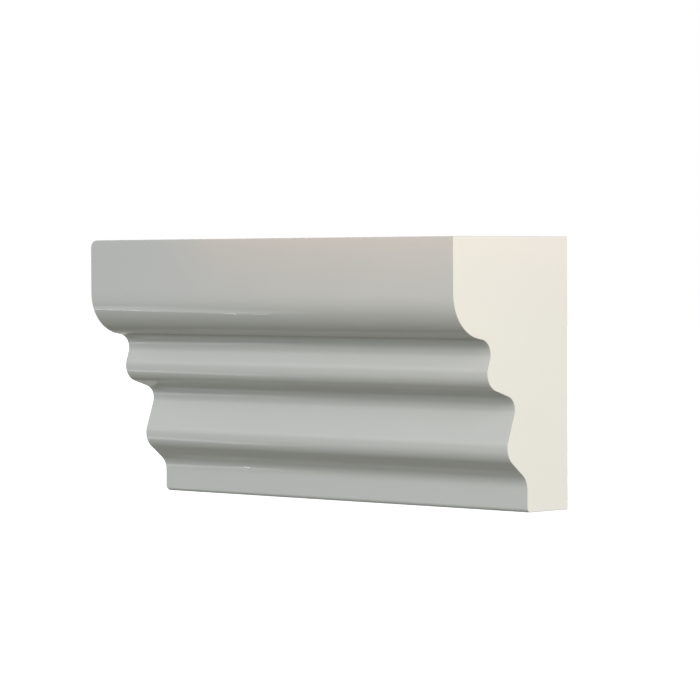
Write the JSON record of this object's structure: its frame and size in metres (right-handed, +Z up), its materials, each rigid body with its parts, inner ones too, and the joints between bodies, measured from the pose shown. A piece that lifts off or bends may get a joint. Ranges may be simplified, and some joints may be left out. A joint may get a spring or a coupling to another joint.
{
  "type": "decorative applique moulding",
  "caption": "Straight length of stepped cornice moulding: broad fascia, ovolo, coves and beads down to a narrow foot, square ends, flat back fixed to a wall.",
  "frame": {"origin": "middle of the flat back face, where the moulding is fixed to a wall", "axes": "+X along the length, +Y out of the back face into the wall, so the profiled face looks to -Y, and +Z up with the broad fascia on top"},
  "size_m": [0.305, 0.1, 0.16],
  "materials": {
    "painted_foam": "light grey satin paint on the profiled face, over cream rigid foam that is bare at the sawn ends and the back"
  },
  "bodies": {
    "root": {"moulding": "painted_foam"}
  },
  "joints": []
}
